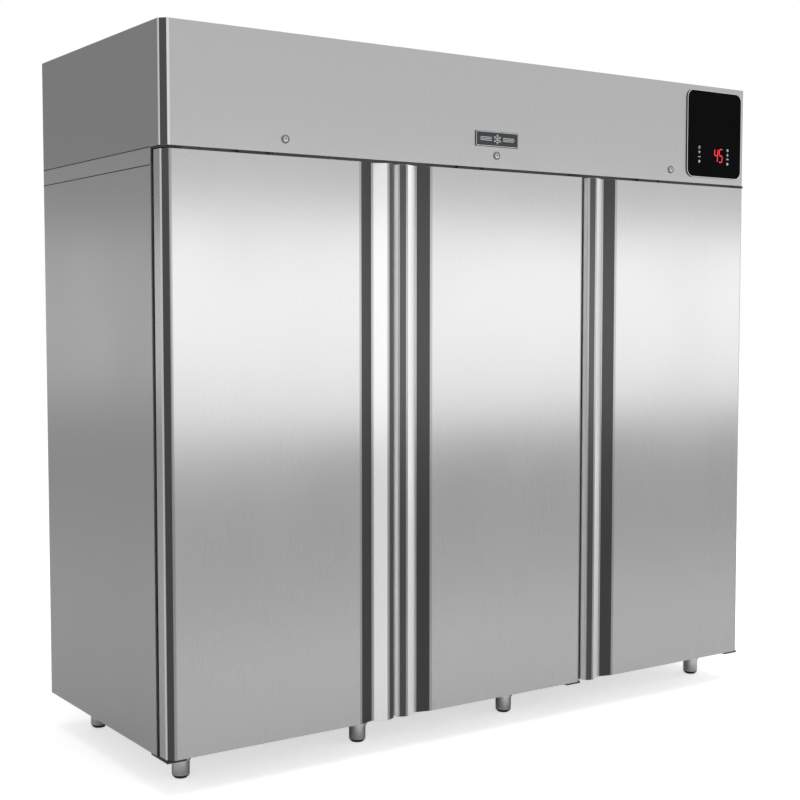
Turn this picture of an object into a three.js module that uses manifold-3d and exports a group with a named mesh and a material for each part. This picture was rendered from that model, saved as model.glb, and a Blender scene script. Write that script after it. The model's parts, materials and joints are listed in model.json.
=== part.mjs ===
// Three-section reach-in refrigerator with full-height formed door handles.
// Units: millimetres. +X is to the right, +Y to the back, +Z up.
// Origin: on the floor, under the middle of the bounding box.
import * as THREE from 'three';
import { mergeVertices } from 'three/addons/utils/BufferGeometryUtils.js';
import Module from 'manifold-3d';

const wasm = await Module();
wasm.setup();

// ---------------------------------------------------------------- driving dimensions
const WIDTH = 2150; // over the side panels
const DEPTH = 838; // from the handle ridges to the back panel
const HEIGHT = 2008; // floor to the top of the header
const CABINET_BOTTOM = 100; // underside of the insulated body
const CABINET_TOP = 1690; // top of the insulated body, where the header starts
const CAP_DROP = 45; // height of the top pan's flange
const DOOR_COUNT = 3;

const GAP = 0.3; // air between pieces that touch on the real object
const SHEET = 1.5; // stainless sheet
const WALL = 62; // insulated wall, skin and liner included

const RIDGE_PROUD = 8; // handle ridge in front of the door's face
const DOOR_THICK = 58;
const GASKET_SPACE = 14; // between a door's back and the cabinet's front
const DOOR_GAP = 6; // between neighbouring doors
const DOOR_LIFT = 2; // door bottom above the cabinet's underside
const DOOR_DROP = 8; // door top below the header
const CORNER_BEVEL = 19; // 45 degree bevel along outer vertical edges

const PIVOT_INSET = 22; // hinge axis from the door's hinge edge
const PIVOT_DEPTH = 24; // hinge axis behind the door's face
const PIN_R = 8;
const PIN_BORE_R = 8.4;

const SHELF_LEVELS = [480, 810, 1140];
const LEG_X = [-965, -392, 160, 1000];
const LEG_Y = [-254, 315];

// ---------------------------------------------------------------- derived places
const X_OUT = WIDTH / 2;
const Y_BACK = DEPTH / 2;
const Y_FACE = -DEPTH / 2 + RIDGE_PROUD;
const Y_DOOR_BACK = Y_FACE + DOOR_THICK;
const Y_FRAME = Y_DOOR_BACK + GASKET_SPACE;
const MODULE = WIDTH / DOOR_COUNT;
const DOOR_W = MODULE - DOOR_GAP;
const DOOR_Z0 = CABINET_BOTTOM + DOOR_LIFT;
const DOOR_Z1 = CABINET_TOP - DOOR_DROP;
const FRAME_THICK = 2;
const INNER_X = X_OUT - WALL - 1;
const INNER_Y = Y_BACK - WALL;
const INNER_Z0 = CABINET_BOTTOM + WALL;
const INNER_Z1 = CABINET_TOP - WALL;
const FOAM_FRONT = Y_FRAME + FRAME_THICK + GAP;
const DECK_Z = CABINET_TOP + GAP; // where the machine compartment's pieces stand

// ---------------------------------------------------------------- materials
const finish = (color, roughness, metalness) => ({ color, roughness, metalness });
const STAINLESS = finish(0xb9b9b8, 0.32, 1.0);
const STAINLESS_INNER = finish(0xc6c7c8, 0.4, 1.0);
const GALVANISED = finish(0xa3a7a8, 0.5, 0.9);
const FOAM = finish(0xe3d3a4, 0.95, 0.0);
const RUBBER = finish(0x17181a, 0.8, 0.0);
const BLACK_GLOSS = finish(0x08080a, 0.12, 0.0);
const BLACK_PLASTIC = finish(0x222326, 0.6, 0.0);
const CHROME = finish(0xd8d9db, 0.12, 1.0);
const ALUMINIUM = finish(0xc3c6c8, 0.45, 1.0);
const BLACK_PAINT = finish(0x141416, 0.4, 0.2);
const GREY_PLATE = finish(0x55575b, 0.35, 0.6);

// ---------------------------------------------------------------- solid helpers
const product = new THREE.Group();

function toManifold(geometry) {
  const bare = geometry.index ? geometry.toNonIndexed() : geometry.clone();
  bare.deleteAttribute('normal');
  bare.deleteAttribute('uv');
  const merged = mergeVertices(bare, 1e-4);
  return new wasm.Manifold(
    new wasm.Mesh({
      numProp: 3,
      vertProperties: new Float32Array(merged.attributes.position.array),
      triVerts: new Uint32Array(merged.index.array),
    }),
  );
}

function toGeometry(solid) {
  const mesh = solid.getMesh();
  const geometry = new THREE.BufferGeometry();
  geometry.setAttribute('position', new THREE.BufferAttribute(mesh.vertProperties, 3));
  geometry.setIndex(new THREE.BufferAttribute(mesh.triVerts, 1));
  return geometry;
}

// Joins the added pieces to the base first, then cuts.
function combine(base, { add = [], cut = [] }) {
  let solid = toManifold(base);
  for (const piece of add) solid = solid.add(toManifold(piece));
  for (const piece of cut) solid = solid.subtract(toManifold(piece));
  return toGeometry(solid);
}

function put(name, geometry, look) {
  geometry.deleteAttribute('uv');
  geometry.computeVertexNormals();
  const mesh = new THREE.Mesh(geometry, new THREE.MeshStandardMaterial(look));
  mesh.name = name;
  product.add(mesh);
  return mesh;
}

// A box given by its lowest and highest corners.
function slab([x0, y0, z0], [x1, y1, z1]) {
  const box = new THREE.BoxGeometry(x1 - x0, y1 - y0, z1 - z0);
  return box.translate((x0 + x1) / 2, (y0 + y1) / 2, (z0 + z1) / 2);
}

function shapeFrom(points) {
  return new THREE.Shape(points.map(([x, y]) => new THREE.Vector2(x, y)));
}

// A plan outline (x, y) raised from z0 to z1.
function raise(points, z0, z1) {
  const outline = new THREE.ExtrudeGeometry(shapeFrom(points), { depth: z1 - z0, bevelEnabled: false });
  return outline.translate(0, 0, z0);
}

// A front-view outline (x, z) given thickness from y0 to y1.
function frontPlate(shape, y0, y1) {
  const plate = new THREE.ExtrudeGeometry(shape, { depth: y1 - y0, bevelEnabled: false, curveSegments: 5 });
  return plate.rotateX(Math.PI / 2).translate(0, y1, 0);
}

function roundedRect(x0, z0, x1, z1, radius) {
  const shape = new THREE.Shape();
  shape.moveTo(x0 + radius, z0);
  shape.lineTo(x1 - radius, z0);
  shape.absarc(x1 - radius, z0 + radius, radius, -Math.PI / 2, 0);
  shape.lineTo(x1, z1 - radius);
  shape.absarc(x1 - radius, z1 - radius, radius, 0, Math.PI / 2);
  shape.lineTo(x0 + radius, z1);
  shape.absarc(x0 + radius, z1 - radius, radius, Math.PI / 2, Math.PI);
  shape.lineTo(x0, z0 + radius);
  shape.absarc(x0 + radius, z0 + radius, radius, Math.PI, 1.5 * Math.PI);
  return shape;
}

// A round post standing from z0 to z1.
function post(x, y, z0, z1, radius, sides = 16) {
  const rod = new THREE.CylinderGeometry(radius, radius, z1 - z0, sides);
  return rod.rotateX(Math.PI / 2).translate(x, y, (z0 + z1) / 2);
}

// A round rod lying along Y from y0 to y1.
function rodAlongY(x, z, y0, y1, radius, sides = 20) {
  return new THREE.CylinderGeometry(radius, radius, y1 - y0, sides).translate(x, (y0 + y1) / 2, z);
}

// Offsets a counter-clockwise outline inwards by distance, with mitred corners.
function inset(points, distance) {
  const normals = points.map(([x, y], i) => {
    const [nx, ny] = points[(i + 1) % points.length];
    const length = Math.hypot(nx - x, ny - y);
    return [-(ny - y) / length, (nx - x) / length];
  });
  return points.map(([x, y], i) => {
    const before = normals[(i + points.length - 1) % points.length];
    const after = normals[i];
    const sum = [before[0] + after[0], before[1] + after[1]];
    const scale = (2 * distance) / (sum[0] ** 2 + sum[1] ** 2);
    return [x + sum[0] * scale, y + sum[1] * scale];
  });
}

// ---------------------------------------------------------------- insulated body
function buildBody() {
  const insideX = X_OUT - SHEET - GAP;
  const insideY = Y_BACK - SHEET - GAP;
  const panelTop = CABINET_TOP - CAP_DROP - GAP;

  const wrapSolid = slab([-X_OUT, Y_FRAME, CABINET_BOTTOM], [X_OUT, Y_BACK, panelTop]);
  const wrapHollow = slab(
    [-X_OUT + SHEET, Y_FRAME - 1, CABINET_BOTTOM - 1],
    [X_OUT - SHEET, Y_BACK - SHEET, panelTop + 1],
  );
  put('outer_wrap', combine(wrapSolid, { cut: [wrapHollow] }), STAINLESS);

  const capHollow = slab(
    [-X_OUT + SHEET, Y_FRAME - 1, CABINET_TOP - CAP_DROP - 1],
    [X_OUT - SHEET, Y_BACK - SHEET, CABINET_TOP - SHEET],
  );
  const capOuter = slab([-X_OUT, Y_FRAME, CABINET_TOP - CAP_DROP], [X_OUT, Y_BACK, CABINET_TOP]);
  put('top_pan', combine(capOuter, { cut: [capHollow] }), STAINLESS);

  const foamOuter = slab(
    [-insideX, FOAM_FRONT, CABINET_BOTTOM + SHEET + GAP],
    [insideX, insideY, CABINET_TOP - SHEET - GAP],
  );
  const linerSpace = SHEET + GAP;
  const foamHollow = slab(
    [-INNER_X - linerSpace, FOAM_FRONT - 1, INNER_Z0 - linerSpace],
    [INNER_X + linerSpace, INNER_Y + linerSpace, INNER_Z1 + linerSpace],
  );
  const stemHoles = stemPosts(CABINET_BOTTOM, STEM_TOP + STEM_ROOM);
  put('cabinet_insulation', combine(foamOuter, { cut: [foamHollow, ...stemHoles] }), FOAM);

  const linerOuter = slab(
    [-INNER_X - SHEET, FOAM_FRONT, INNER_Z0 - SHEET],
    [INNER_X + SHEET, INNER_Y + SHEET, INNER_Z1 + SHEET],
  );
  const linerInner = slab([-INNER_X, FOAM_FRONT - 1, INNER_Z0], [INNER_X, INNER_Y, INNER_Z1]);
  put('inner_liner', combine(linerOuter, { cut: [linerInner] }), STAINLESS_INNER);

  buildFrontFrame(insideX);
  buildBase(insideX, insideY);
}

const MULLION_HALF = 42;
const MULLION_DEPTH = 50;

// Centre of the line between door i and door i + 1.
const moduleEdge = (i) => -X_OUT + MODULE * i;

function doorOpening(index) {
  const low = index === 0 ? -INNER_X : moduleEdge(index) + MULLION_HALF;
  const high = index === DOOR_COUNT - 1 ? INNER_X : moduleEdge(index + 1) - MULLION_HALF;
  return [low, high];
}

// A face plate with an opening per door, and a folded channel behind each mullion.
function buildFrontFrame(insideX) {
  const plate = slab(
    [-insideX, Y_FRAME, CABINET_BOTTOM],
    [insideX, Y_FRAME + FRAME_THICK, CABINET_TOP - SHEET - GAP],
  );
  const backOfChannel = Y_FRAME + MULLION_DEPTH;
  const cut = [];
  for (let i = 0; i < DOOR_COUNT; i++) {
    const [x0, x1] = doorOpening(i);
    cut.push(slab([x0, Y_FRAME - 1, INNER_Z0], [x1, backOfChannel + 1, INNER_Z1]));
  }
  const add = [];
  for (let i = 1; i < DOOR_COUNT; i++) {
    const x = moduleEdge(i);
    const half = MULLION_HALF - FRAME_THICK;
    add.push(
      slab([x - MULLION_HALF, Y_FRAME, INNER_Z0 + GAP], [x + MULLION_HALF, backOfChannel, INNER_Z1 - GAP]),
    );
    const foldFront = Y_FRAME + FRAME_THICK;
    cut.push(slab([x - half, foldFront, INNER_Z0 + GAP - 1], [x + half, backOfChannel + 1, INNER_Z1 + 1]));
  }
  put('front_frame', combine(plate, { add, cut }), STAINLESS);
}

// ---------------------------------------------------------------- base and legs
const SOCKET_R = 28;
const SOCKET_BORE_R = 25;
const SOCKET_DROP = 50;
const LEG_R = 24.5;
const STEM_R = 8;
const STEM_CLEAR = 1; // hole round the stem, on the radius
const STEM_ROOM = 4; // hole above the stem
const STEM_TOP = CABINET_BOTTOM + 40;
const FOOT_TIP_R = 18;
const FOOT_R = 23;
const FOOT_H = 9;

function legPlaces() {
  return LEG_Y.flatMap((y) => LEG_X.map((x) => [x, y]));
}

// A post at each leg, for cutting the clearance round its threaded stem.
function stemPosts(z0, z1) {
  return legPlaces().map(([x, y]) => post(x, y, z0, z1, STEM_R + STEM_CLEAR, 12));
}

function buildBase(insideX, insideY) {
  const plate = slab([-insideX, FOAM_FRONT, CABINET_BOTTOM], [insideX, insideY, CABINET_BOTTOM + SHEET]);
  const sockets = legPlaces().map(([x, y]) =>
    post(x, y, CABINET_BOTTOM - SOCKET_DROP, CABINET_BOTTOM + SHEET / 2, SOCKET_R),
  );
  const bores = legPlaces().map(([x, y]) =>
    post(x, y, CABINET_BOTTOM - SOCKET_DROP - 1, CABINET_BOTTOM - GAP, SOCKET_BORE_R),
  );
  const stemHoles = stemPosts(CABINET_BOTTOM - SHEET, CABINET_BOTTOM + SHEET + 1);
  put('base_panel', combine(plate, { add: sockets, cut: [...bores, ...stemHoles] }), STAINLESS);
}

function buildLegs() {
  const profile = [
    [0, 0],
    [FOOT_TIP_R, 0],
    [FOOT_R, FOOT_H / 2],
    [FOOT_R, FOOT_H],
    [LEG_R, FOOT_H],
    [LEG_R, CABINET_BOTTOM - 2],
    [STEM_R, CABINET_BOTTOM - 2],
    [STEM_R, STEM_TOP],
    [0, STEM_TOP],
  ].map(([r, z]) => new THREE.Vector2(r, z));
  legPlaces().forEach(([x, y], i) => {
    const leg = new THREE.LatheGeometry(profile, 20).rotateX(Math.PI / 2);
    put(`leg_${i + 1}`, toGeometry(toManifold(leg)), STAINLESS).position.set(x, y, 0);
  });
}

// ---------------------------------------------------------------- header
const HEADER_LIP = 14;
const VENT = { columns: 6, rows: 7, width: 240, height: 12, pitchX: 330, pitchZ: 30, start: 60 };

function headerOutline(distance, yEnd) {
  const x = X_OUT - distance;
  const cut = CORNER_BEVEL - distance * (2 - Math.SQRT2);
  return [
    [-x, yEnd],
    [-x, Y_FACE + distance + cut],
    [-x + cut, Y_FACE + distance],
    [x - cut, Y_FACE + distance],
    [x, Y_FACE + distance + cut],
    [x, yEnd],
  ];
}

function buildHeader() {
  const z0 = CABINET_TOP + GAP;
  const overrun = 5;
  put(
    'header_surround',
    combine(raise(headerOutline(0, Y_BACK), z0, HEIGHT), {
      cut: [
        raise(headerOutline(SHEET, Y_BACK + overrun), z0 + SHEET, HEIGHT - SHEET),
        raise(headerOutline(HEADER_LIP, Y_BACK + overrun), z0 - 1, HEIGHT + 1),
        ...lockPlaces().map((x) => rodAlongY(x, LOCK_Z, Y_FACE - 1, Y_FACE + SHEET + 1, LOCK_R + GAP)),
      ],
    }),
    STAINLESS,
  );

  const rearX = X_OUT - SHEET - GAP;
  const rearZ0 = z0 + SHEET + GAP;
  const rearZ1 = HEIGHT - SHEET - GAP;
  const vents = [];
  for (let c = 0; c < VENT.columns; c++) {
    for (let r = 0; r < VENT.rows; r++) {
      const x = (c - (VENT.columns - 1) / 2) * VENT.pitchX - VENT.width / 2;
      const z = rearZ0 + VENT.start + r * VENT.pitchZ;
      vents.push(slab([x, Y_BACK - SHEET - 1, z], [x + VENT.width, Y_BACK + 1, z + VENT.height]));
    }
  }
  const rear = slab([-rearX, Y_BACK - SHEET, rearZ0], [rearX, Y_BACK, rearZ1]);
  put('header_rear_panel', combine(rear, { cut: vents }), GALVANISED);
}

// ---------------------------------------------------------------- control panel and badge
const PANEL = { x0: 787, x1: 1041, z0: 1709, z1: 1993, radius: 27, thick: 3.5 };
const BADGE = { halfW: 80, z0: 1752, z1: 1797, radius: 3, thick: 2.5 };

function buildPanels() {
  const panel = roundedRect(PANEL.x0, PANEL.z0, PANEL.x1, PANEL.z1, PANEL.radius);
  put('control_panel', frontPlate(panel, Y_FACE - PANEL.thick, Y_FACE - GAP), BLACK_GLOSS);
  const badge = roundedRect(-BADGE.halfW, BADGE.z0, BADGE.halfW, BADGE.z1, BADGE.radius);
  put('badge_plate', frontPlate(badge, Y_FACE - BADGE.thick, Y_FACE - GAP), GREY_PLATE);
}

// ---------------------------------------------------------------- door locks
const LOCK_Z = 1727;
const LOCK_R = 9.5;
const LOCK_FACE_R = 12;
const CAM_DEPTH = 26; // cam plane behind the face
const CAM_THICK = 3;
const CAM_LENGTH = 60;
const CAM_HALF = 6;
const CAM_SLOT = { left: 9, right: 45, deep: 17, half: 3.5 };
const LOCK_PROUD = 3; // lock face in front of the header
const KEYWAY = { half: 1, reach: 5, deep: 1.5 };

function lockPlaces() {
  return Array.from({ length: DOOR_COUNT }, (_, i) => moduleEdge(i + 0.5));
}

function buildLocks() {
  lockPlaces().forEach((x, i) => {
    const front = Y_FACE - LOCK_PROUD;
    const camFront = Y_FACE + CAM_DEPTH;
    const camBack = camFront + CAM_THICK;
    const face = rodAlongY(0, 0, front, Y_FACE - GAP, LOCK_FACE_R);
    const barrel = rodAlongY(0, 0, Y_FACE - 1, camBack, LOCK_R);
    const cam = slab([0, camFront, -CAM_HALF], [CAM_LENGTH, camBack, CAM_HALF]);
    const keyway = slab(
      [-KEYWAY.half, front - 1, -KEYWAY.reach],
      [KEYWAY.half, front + KEYWAY.deep, KEYWAY.reach],
    );
    const lock = combine(face, { add: [barrel, cam], cut: [keyway] });
    put(`door_lock_${i + 1}`, lock, CHROME).position.set(x, 0, LOCK_Z);
  });
}

// ---------------------------------------------------------------- doors
// Plan outline measured from the handle edge (s) and inwards from the face (d).
const HANDLE_PROFILE = [
  [0, 20], // side ends at the outer bend
  [5, 2], // shoulder
  [29, -RIDGE_PROUD], // ridge of the grip
  [71, 13], // bottom of the finger groove
  [118, 0], // back out to the face
];
const GASKET = { inset: 16, band: 20, front: GAP, thick: 12.9 };
const PAN_FIELD = { inset: 52, deep: 6 };

// hand = 1 puts the handle at the low-x edge and the hinge at the high-x edge.
function doorOutline(x0, hand) {
  const outline = [
    [0, DOOR_THICK],
    ...HANDLE_PROFILE,
    [DOOR_W - CORNER_BEVEL, 0],
    [DOOR_W, CORNER_BEVEL],
    [DOOR_W, DOOR_THICK],
  ];
  const placed = outline.map(([s, d]) => [hand > 0 ? x0 + s : x0 + DOOR_W - s, Y_FACE + d]);
  return hand > 0 ? placed : placed.reverse();
}

// Pushes the outline's back edge to another depth, which leaves a pan open there.
function withBackAt(points, y) {
  const back = Math.max(...points.map((p) => p[1]));
  return points.map(([px, py]) => [px, py > back - 0.01 ? y : py]);
}

const DOORS = [
  { hand: -1 }, // hinged at the left, handle at the right
  { hand: 1 },
  { hand: 1 },
].map((door, i) => {
  const x0 = moduleEdge(i) + DOOR_GAP / 2;
  const pivotX = door.hand > 0 ? x0 + DOOR_W - PIVOT_INSET : x0 + PIVOT_INSET;
  return { ...door, index: i + 1, x0, x1: x0 + DOOR_W, pivotX, pivotY: Y_FACE + PIVOT_DEPTH };
});

const BORE_DEEP = 28;

function buildDoor({ hand, index, x0, x1, pivotX, pivotY }) {
  const outline = doorOutline(x0, hand);
  const bores = [
    post(pivotX, pivotY, DOOR_Z0 - 1, DOOR_Z0 + BORE_DEEP, PIN_BORE_R, 16),
    post(pivotX, pivotY, DOOR_Z1 - BORE_DEEP, DOOR_Z1 + 1, PIN_BORE_R, 16),
  ];
  const lockX = lockPlaces()[index - 1];
  const slotY = Y_FACE + CAM_DEPTH + CAM_THICK / 2;
  const camSlot = slab(
    [lockX - CAM_SLOT.left, slotY - CAM_SLOT.half, DOOR_Z1 - CAM_SLOT.deep],
    [lockX + CAM_SLOT.right, slotY + CAM_SLOT.half, DOOR_Z1 + 1],
  );
  const cuts = [...bores, camSlot];

  const hollow = withBackAt(inset(outline, SHEET), Y_DOOR_BACK + 5);
  put(
    `door_${index}_skin`,
    combine(raise(outline, DOOR_Z0, DOOR_Z1), {
      cut: [raise(hollow, DOOR_Z0 + SHEET, DOOR_Z1 - SHEET), ...cuts],
    }),
    STAINLESS,
  );

  const panFront = Y_DOOR_BACK - SHEET;
  const seat = inset(outline, SHEET + GAP);
  const core = withBackAt(seat, panFront - GAP);
  const fieldOf = (margin, front) =>
    slab(
      [x0 + PAN_FIELD.inset - margin, front, DOOR_Z0 + PAN_FIELD.inset - margin],
      [x1 - PAN_FIELD.inset + margin, Y_DOOR_BACK + 1, DOOR_Z1 - PAN_FIELD.inset + margin],
    );
  put(
    `door_${index}_foam_core`,
    combine(raise(core, DOOR_Z0 + SHEET + GAP, DOOR_Z1 - SHEET - GAP), {
      cut: [fieldOf(SHEET + GAP, panFront - PAN_FIELD.deep - GAP), ...cuts],
    }),
    FOAM,
  );

  const panX = [x0 + SHEET + GAP, x1 - SHEET - GAP];
  const panZ = [DOOR_Z0 + SHEET + GAP, DOOR_Z1 - SHEET - GAP];
  put(
    `door_${index}_inner_pan`,
    combine(slab([panX[0], panFront, panZ[0]], [panX[1], Y_DOOR_BACK, panZ[1]]), {
      add: [
        slab(
          [x0 + PAN_FIELD.inset - SHEET, panFront - PAN_FIELD.deep, DOOR_Z0 + PAN_FIELD.inset - SHEET],
          [x1 - PAN_FIELD.inset + SHEET, Y_DOOR_BACK, DOOR_Z1 - PAN_FIELD.inset + SHEET],
        ),
      ],
      cut: [fieldOf(0, Y_DOOR_BACK - PAN_FIELD.deep)],
    }),
    STAINLESS_INNER,
  );

  const edge = GASKET.inset;
  const ring = roundedRect(x0 + edge, DOOR_Z0 + edge, x1 - edge, DOOR_Z1 - edge, 6);
  const inner = edge + GASKET.band;
  ring.holes.push(roundedRect(x0 + inner, DOOR_Z0 + inner, x1 - inner, DOOR_Z1 - inner, 3));
  const y0 = Y_DOOR_BACK + GASKET.front;
  put(`door_${index}_gasket`, frontPlate(ring, y0, y0 + GASKET.thick), RUBBER);
}

// ---------------------------------------------------------------- door hinges
const BRACKET_W = 56;
const BRACKET_FRONT = 12; // bracket's nose in front of the hinge axis
const WASHER_R = 13;
const FLANGE_THICK = 3;
const FLANGE_BOTTOM = CABINET_TOP - 21;

function buildHinges({ hand, index, x0, x1, pivotX, pivotY }) {
  const edge = hand > 0 ? x1 : x0;
  const low = Math.min(edge, edge - hand * BRACKET_W);
  const high = low + BRACKET_W;
  const nose = pivotY - BRACKET_FRONT;

  const lowTop = CABINET_BOTTOM - GAP;
  const lowPlate = slab([low, nose, lowTop - 7], [high, Y_FRAME + 40, lowTop]);
  const lowParts = [
    post(pivotX, pivotY, lowTop - 1, DOOR_Z0 - GAP, WASHER_R),
    post(pivotX, pivotY, lowTop - 1, DOOR_Z0 + BORE_DEEP - 4, PIN_R, 16),
  ];
  put(`hinge_bottom_${index}`, combine(lowPlate, { add: lowParts }), BLACK_PAINT);

  const highTop = CABINET_TOP - GAP;
  const highPlate = slab([low, nose, highTop - 5], [high, Y_FRAME - GAP, highTop]);
  const highParts = [
    post(pivotX, pivotY, DOOR_Z1 - BORE_DEEP + 4, highTop - 1, PIN_R, 16),
    slab([low, Y_FRAME - GAP - FLANGE_THICK, FLANGE_BOTTOM], [high, Y_FRAME - GAP, highTop]),
  ];
  put(`hinge_top_${index}`, combine(highPlate, { add: highParts }), CHROME);
}

// ---------------------------------------------------------------- shelf racks and shelves
const RACK_Y = [-240, 300]; // front and rear uprights
const UPRIGHT = 20;
const RACK_Z0 = INNER_Z0 + GAP;
const RACK_Z1 = 1440;
const LEDGE_H = 14;
const LEDGE_W = 14;
const LEDGE_OVER = 10; // ledge past the uprights at each end
const WALL_RACK_T = 12;
const MID_RACK_HALF = 8;

// Each rack's uprights span x0 to x1, with ledges on the low-x side (-1), the high-x side (1) or both.
function rackPlanes() {
  const wall = INNER_X - GAP;
  const [left, right] = [moduleEdge(1), moduleEdge(2)];
  const half = MID_RACK_HALF;
  return [
    { name: 'shelf_rack_left', x0: -wall, x1: -wall + WALL_RACK_T, ledges: [1] },
    { name: 'shelf_rack_centre_left', x0: left - half, x1: left + half, ledges: [-1, 1] },
    { name: 'shelf_rack_centre_right', x0: right - half, x1: right + half, ledges: [-1, 1] },
    { name: 'shelf_rack_right', x0: wall - WALL_RACK_T, x1: wall, ledges: [-1] },
  ];
}

function buildRacks() {
  for (const rack of rackPlanes()) {
    const front = slab([rack.x0, RACK_Y[0], RACK_Z0], [rack.x1, RACK_Y[0] + UPRIGHT, RACK_Z1]);
    const parts = [slab([rack.x0, RACK_Y[1] - UPRIGHT, RACK_Z0], [rack.x1, RACK_Y[1], RACK_Z1])];
    const low = rack.ledges.includes(-1) ? rack.x0 - LEDGE_W : rack.x0;
    const high = rack.ledges.includes(1) ? rack.x1 + LEDGE_W : rack.x1;
    for (const level of SHELF_LEVELS) {
      parts.push(slab([low, RACK_Y[0] - LEDGE_OVER, level - LEDGE_H], [high, RACK_Y[1] + LEDGE_OVER, level]));
    }
    put(rack.name, combine(front, { add: parts }), STAINLESS_INNER);
  }
}

const SHELF = { thick: 8, border: 14, slots: 12, rib: 9, side: 3, y0: -245, y1: 308 };

function buildShelf(name, x0, x1, level) {
  const z0 = level + GAP;
  const z1 = z0 + SHELF.thick;
  const pitch = (x1 - x0 - 2 * SHELF.border + SHELF.rib) / SHELF.slots;
  const slots = [];
  for (let i = 0; i < SHELF.slots; i++) {
    const left = x0 + SHELF.border + i * pitch;
    const right = left + pitch - SHELF.rib;
    slots.push(slab([left, SHELF.y0 + SHELF.border, z0 - 1], [right, SHELF.y1 - SHELF.border, z1 + 1]));
  }
  put(name, combine(slab([x0, SHELF.y0, z0], [x1, SHELF.y1, z1]), { cut: slots }), CHROME);
}

function buildShelves() {
  const planes = rackPlanes();
  for (let section = 0; section < DOOR_COUNT; section++) {
    SHELF_LEVELS.forEach((level, row) => {
      buildShelf(
        `shelf_${section + 1}_${row + 1}`,
        planes[section].x1 + SHELF.side,
        planes[section + 1].x0 - SHELF.side,
        level,
      );
    });
  }
}

// ---------------------------------------------------------------- evaporator under the ceiling
const EVAP = { halfX: 340, y0: 20, y1: 320, z0: 1490, z1: INNER_Z1 - GAP };
const EVAP_FAN = { y: 124, lift: 44, radius: 90, hub: 30, thick: 34, mouth: 97 };
const OUTLET = { side: 40, low: 30, high: 20 }; // rear outlet, in from the housing's edges
const COIL = { halfX: 320, y0: 228, y1: 312, z0: 1500, z1: 1615 };
const BLADES = 5;
const BLADE_WIDTH = 0.42; // of the fan's radius
const BLADE_THICK = 2.4;
const BLADE_PITCH = 0.45; // radians
const BLADE_ROOT = 4; // how far a blade goes into the hub

// Axial fan about +Z, centred on its own hub.
function fanGeometry({ radius, hub, thick }) {
  const root = hub - BLADE_ROOT;
  const add = [];
  for (let i = 0; i < BLADES; i++) {
    const blade = new THREE.BoxGeometry(radius - root, radius * BLADE_WIDTH, BLADE_THICK);
    blade.rotateX(BLADE_PITCH).translate((radius + root) / 2, 0, 0);
    add.push(blade.rotateZ((2 * Math.PI * i) / BLADES));
  }
  return combine(post(0, 0, -thick / 2, thick / 2, hub), { add });
}

function buildEvaporator() {
  const shell = slab([-EVAP.halfX, EVAP.y0, EVAP.z0], [EVAP.halfX, EVAP.y1, EVAP.z1]);
  const hollow = slab(
    [-EVAP.halfX + SHEET, EVAP.y0 + SHEET, EVAP.z0 + SHEET],
    [EVAP.halfX - SHEET, EVAP.y1 - SHEET, EVAP.z1 + 1],
  );
  const mouth = post(0, EVAP_FAN.y, EVAP.z0 - 1, EVAP.z0 + SHEET + 1, EVAP_FAN.mouth, 32);
  const outletX = EVAP.halfX - OUTLET.side;
  const outlet = slab(
    [-outletX, EVAP.y1 - SHEET - 1, EVAP.z0 + OUTLET.low],
    [outletX, EVAP.y1 + 1, EVAP.z1 - OUTLET.high],
  );
  put('evaporator_housing', combine(shell, { cut: [hollow, mouth, outlet] }), ALUMINIUM);
  put('evaporator_coil', slab([-COIL.halfX, COIL.y0, COIL.z0], [COIL.halfX, COIL.y1, COIL.z1]), ALUMINIUM);
  const fan = put('evaporator_fan', fanGeometry(EVAP_FAN), BLACK_PLASTIC);
  fan.position.set(0, EVAP_FAN.y, EVAP.z0 + EVAP_FAN.lift);
}

// ---------------------------------------------------------------- condensing unit in the header
const COND = { x0: 120, x1: 480, y0: -250, y1: -190, height: 250 };
const COND_FAN = { lift: 131, forward: 8, radius: 100, hub: 28, thick: 22 };
const SHROUD = { deep: 60, wall: 2, mouth: 108 };
const MOTOR = { radius: 34, start: 14, end: 70 }; // start and end behind the shroud's back
const BRIDGE = { reach: 116, bar: 8, half: 6, start: 22, end: 30 };
const ELECTRICAL = { x0: -330, x1: -70, y0: 60, y1: 300, height: 120 };
const INLET = { inset: 60, radius: 14, proud: 22 }; // mains inlet on the electrical box
const COMPRESSOR = { x: 300, y: 210, radius: 88, height: 205 };
const PLATE = { halfX: 112, halfY: 70, thick: 14 }; // under the compressor

function buildCondensingUnit() {
  const coilTop = DECK_Z + COND.height;
  put('condenser_coil', slab([COND.x0, COND.y0, DECK_Z], [COND.x1, COND.y1, coilTop]), ALUMINIUM);
  buildCondenserFan(coilTop);
  buildCompressor();
  buildElectricalBox();
}

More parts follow.
